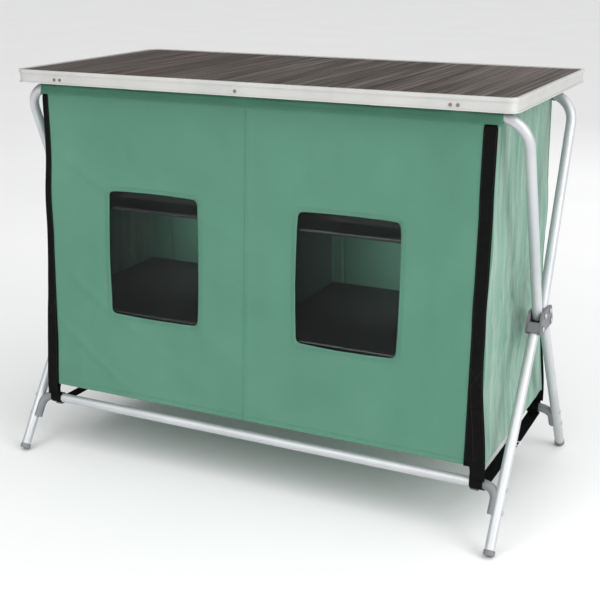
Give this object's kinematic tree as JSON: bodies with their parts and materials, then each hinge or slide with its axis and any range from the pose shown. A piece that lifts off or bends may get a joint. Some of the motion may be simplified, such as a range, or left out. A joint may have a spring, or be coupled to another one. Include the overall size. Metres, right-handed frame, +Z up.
{
  "type": "camp kitchen table",
  "caption": "Folding camp kitchen table: a rigid laminate top on crossed tube legs that pivot in plastic hubs, over a hanging fabric cupboard with windows, shelves and zipped doors.",
  "frame": {"origin": "middle of the whole object's box, on the floor", "axes": "+X along the table's length, +Y from the window side to the door side, +Z up"},
  "size_m": [1.0588, 0.5572, 0.8],
  "materials": {
    "hub_plastic": "moulded",
    "steel": "zinc plated",
    "tube_aluminium": "satin",
    "edge_aluminium": "satin",
    "laminate": "striped laminate",
    "green_fabric": "coated weave",
    "window_film": "tinted film",
    "black_webbing": "ribbed webbing",
    "buckle_plastic": "moulded"
  },
  "bodies": {
    "hubs": {"hub_left": "hub_plastic", "hub_right": "hub_plastic", "hub_pins": "steel"},
    "back_bow": {"back_bow": "tube_aluminium"},
    "front_bow": {"front_bow": "tube_aluminium"},
    "front_legs": {"front_leg_left": "tube_aluminium", "front_leg_right": "tube_aluminium", "front_stretcher": "tube_aluminium", "front_elbow_left": "hub_plastic", "front_elbow_right": "hub_plastic", "front_foot_left": "hub_plastic", "front_foot_right": "hub_plastic", "front_elbow_rivets": "steel"},
    "back_legs": {"back_leg_left": "tube_aluminium", "back_leg_right": "tube_aluminium", "back_stretcher": "tube_aluminium", "back_elbow_left": "hub_plastic", "back_elbow_right": "hub_plastic", "back_foot_left": "hub_plastic", "back_foot_right": "hub_plastic", "back_elbow_rivets": "steel"},
    "tabletop": {"top_panel": "laminate", "edge_frame": "edge_aluminium", "edge_rivets": "steel", "top_braces": "tube_aluminium", "rear_pivot_clips": "hub_plastic", "front_rest_clips": "hub_plastic"},
    "front_wall": {"front_sleeve": "green_fabric", "front_panel_left": "green_fabric", "front_panel_right": "green_fabric", "window_left": "window_film", "window_right": "window_film", "front_strap_left": "black_webbing", "front_strap_right": "black_webbing", "shelf_rods": "tube_aluminium", "side_wall_left": "green_fabric", "side_wall_right": "green_fabric", "divider": "green_fabric", "upper_shelves": "green_fabric", "lower_shelves": "green_fabric", "cupboard_floor": "green_fabric"},
    "back_wall": {"back_sleeve": "green_fabric", "back_panel": "green_fabric", "back_strap_left": "black_webbing", "back_strap_right": "black_webbing", "door_zips": "black_webbing"},
    "door_left": {"door_left": "green_fabric"},
    "door_right": {"door_right": "green_fabric"},
    "zip_slider_left_outer": {"zip_slider_left_outer": "steel"},
    "zip_slider_left_inner": {"zip_slider_left_inner": "steel"},
    "zip_slider_right_inner": {"zip_slider_right_inner": "steel"},
    "zip_slider_right_outer": {"zip_slider_right_outer": "steel"},
    "front_webbing": {"front_strap_loops": "black_webbing", "front_loop_clips": "steel", "bottom_strap_left": "black_webbing", "bottom_strap_right": "black_webbing", "strap_buckles": "buckle_plastic"},
    "back_webbing": {"back_strap_loops": "black_webbing", "back_loop_clips": "steel"}
  },
  "joints": [
    {"name": "frame_fold", "type": "hinge", "parent": "hubs", "child": "back_bow", "pos_m": [0, 0.01093, 0.38], "axis": [1, 0, 0], "range_deg": [0, 21.26], "deforming": ["side_wall_left", "side_wall_right", "divider", "upper_shelves", "lower_shelves", "cupboard_floor", "bottom_strap_left", "bottom_strap_right", "strap_buckles", "front_strap_loops", "back_strap_loops"]},
    {"name": "front_bow_fold", "type": "hinge", "parent": "hubs", "child": "front_bow", "pos_m": [0, -0.02567, 0.38], "axis": [-1, 0, 0], "range_deg": [0, 21.26]},
    {"name": "front_legs_fold", "type": "hinge", "parent": "hubs", "child": "front_legs", "pos_m": [0, -0.03867, 0.358], "axis": [1, 0, 0], "range_deg": [0, 33.3]},
    {"name": "back_legs_fold", "type": "hinge", "parent": "hubs", "child": "back_legs", "pos_m": [0, 0.02393, 0.358], "axis": [-1, 0, 0], "range_deg": [0, 33.3]},
    {"name": "tabletop_swing", "type": "hinge", "parent": "back_bow", "child": "tabletop", "pos_m": [0, 0.16013, 0.7635], "axis": [-1, 0, 0], "range_deg": [0, 103.26]},
    {"name": "front_wall_hang", "type": "hinge", "parent": "front_bow", "child": "front_wall", "pos_m": [0, -0.17487, 0.7635], "axis": [1, 0, 0], "range_deg": [0, 24.26]},
    {"name": "back_wall_hang", "type": "hinge", "parent": "back_bow", "child": "back_wall", "pos_m": [0, 0.16013, 0.7635], "axis": [-1, 0, 0], "range_deg": [0, 24.26]},
    {"name": "front_webbing_swivel", "type": "hinge", "parent": "front_legs", "child": "front_webbing", "pos_m": [0, -0.20355, 0.107], "axis": [-1, 0, 0], "range_deg": [0, 38.1]},
    {"name": "back_webbing_swivel", "type": "hinge", "parent": "back_legs", "child": "back_webbing", "pos_m": [0, 0.1888, 0.107], "axis": [1, 0, 0], "range_deg": [0, 38.1]},
    {"name": "door_left_lift", "type": "hinge", "parent": "back_wall", "child": "door_left", "pos_m": [0, 0.17585, 0.64406], "axis": [1, 0, 0], "range_deg": [0, 90]},
    {"name": "door_right_lift", "type": "hinge", "parent": "back_wall", "child": "door_right", "pos_m": [0, 0.17585, 0.64406], "axis": [1, 0, 0], "range_deg": [0, 90]},
    {"name": "zip_left_outer_slide", "type": "slide", "parent": "back_wall", "child": "zip_slider_left_outer", "axis": [0, -0.0436, 0.999], "range_m": [0, 0.44]},
    {"name": "zip_left_inner_slide", "type": "slide", "parent": "back_wall", "child": "zip_slider_left_inner", "axis": [0, -0.0436, 0.999], "range_m": [0, 0.44]},
    {"name": "zip_right_inner_slide", "type": "slide", "parent": "back_wall", "child": "zip_slider_right_inner", "axis": [0, -0.0436, 0.999], "range_m": [0, 0.44]},
    {"name": "zip_right_outer_slide", "type": "slide", "parent": "back_wall", "child": "zip_slider_right_outer", "axis": [0, -0.0436, 0.999], "range_m": [0, 0.44]}
  ],
  "couplings": [
    {"joint": "front_bow_fold", "follows": "frame_fold", "ratio": 1},
    {"joint": "front_legs_fold", "follows": "frame_fold", "ratio": 1.5664},
    {"joint": "back_legs_fold", "follows": "frame_fold", "ratio": 1.5664},
    {"joint": "tabletop_swing", "follows": "frame_fold", "ratio": 4.8573},
    {"joint": "front_wall_hang", "follows": "frame_fold", "ratio": 1.1411},
    {"joint": "back_wall_hang", "follows": "frame_fold", "ratio": 1.1411},
    {"joint": "front_webbing_swivel", "follows": "frame_fold", "ratio": 1.7922},
    {"joint": "back_webbing_swivel", "follows": "frame_fold", "ratio": 1.7922}
  ]
}
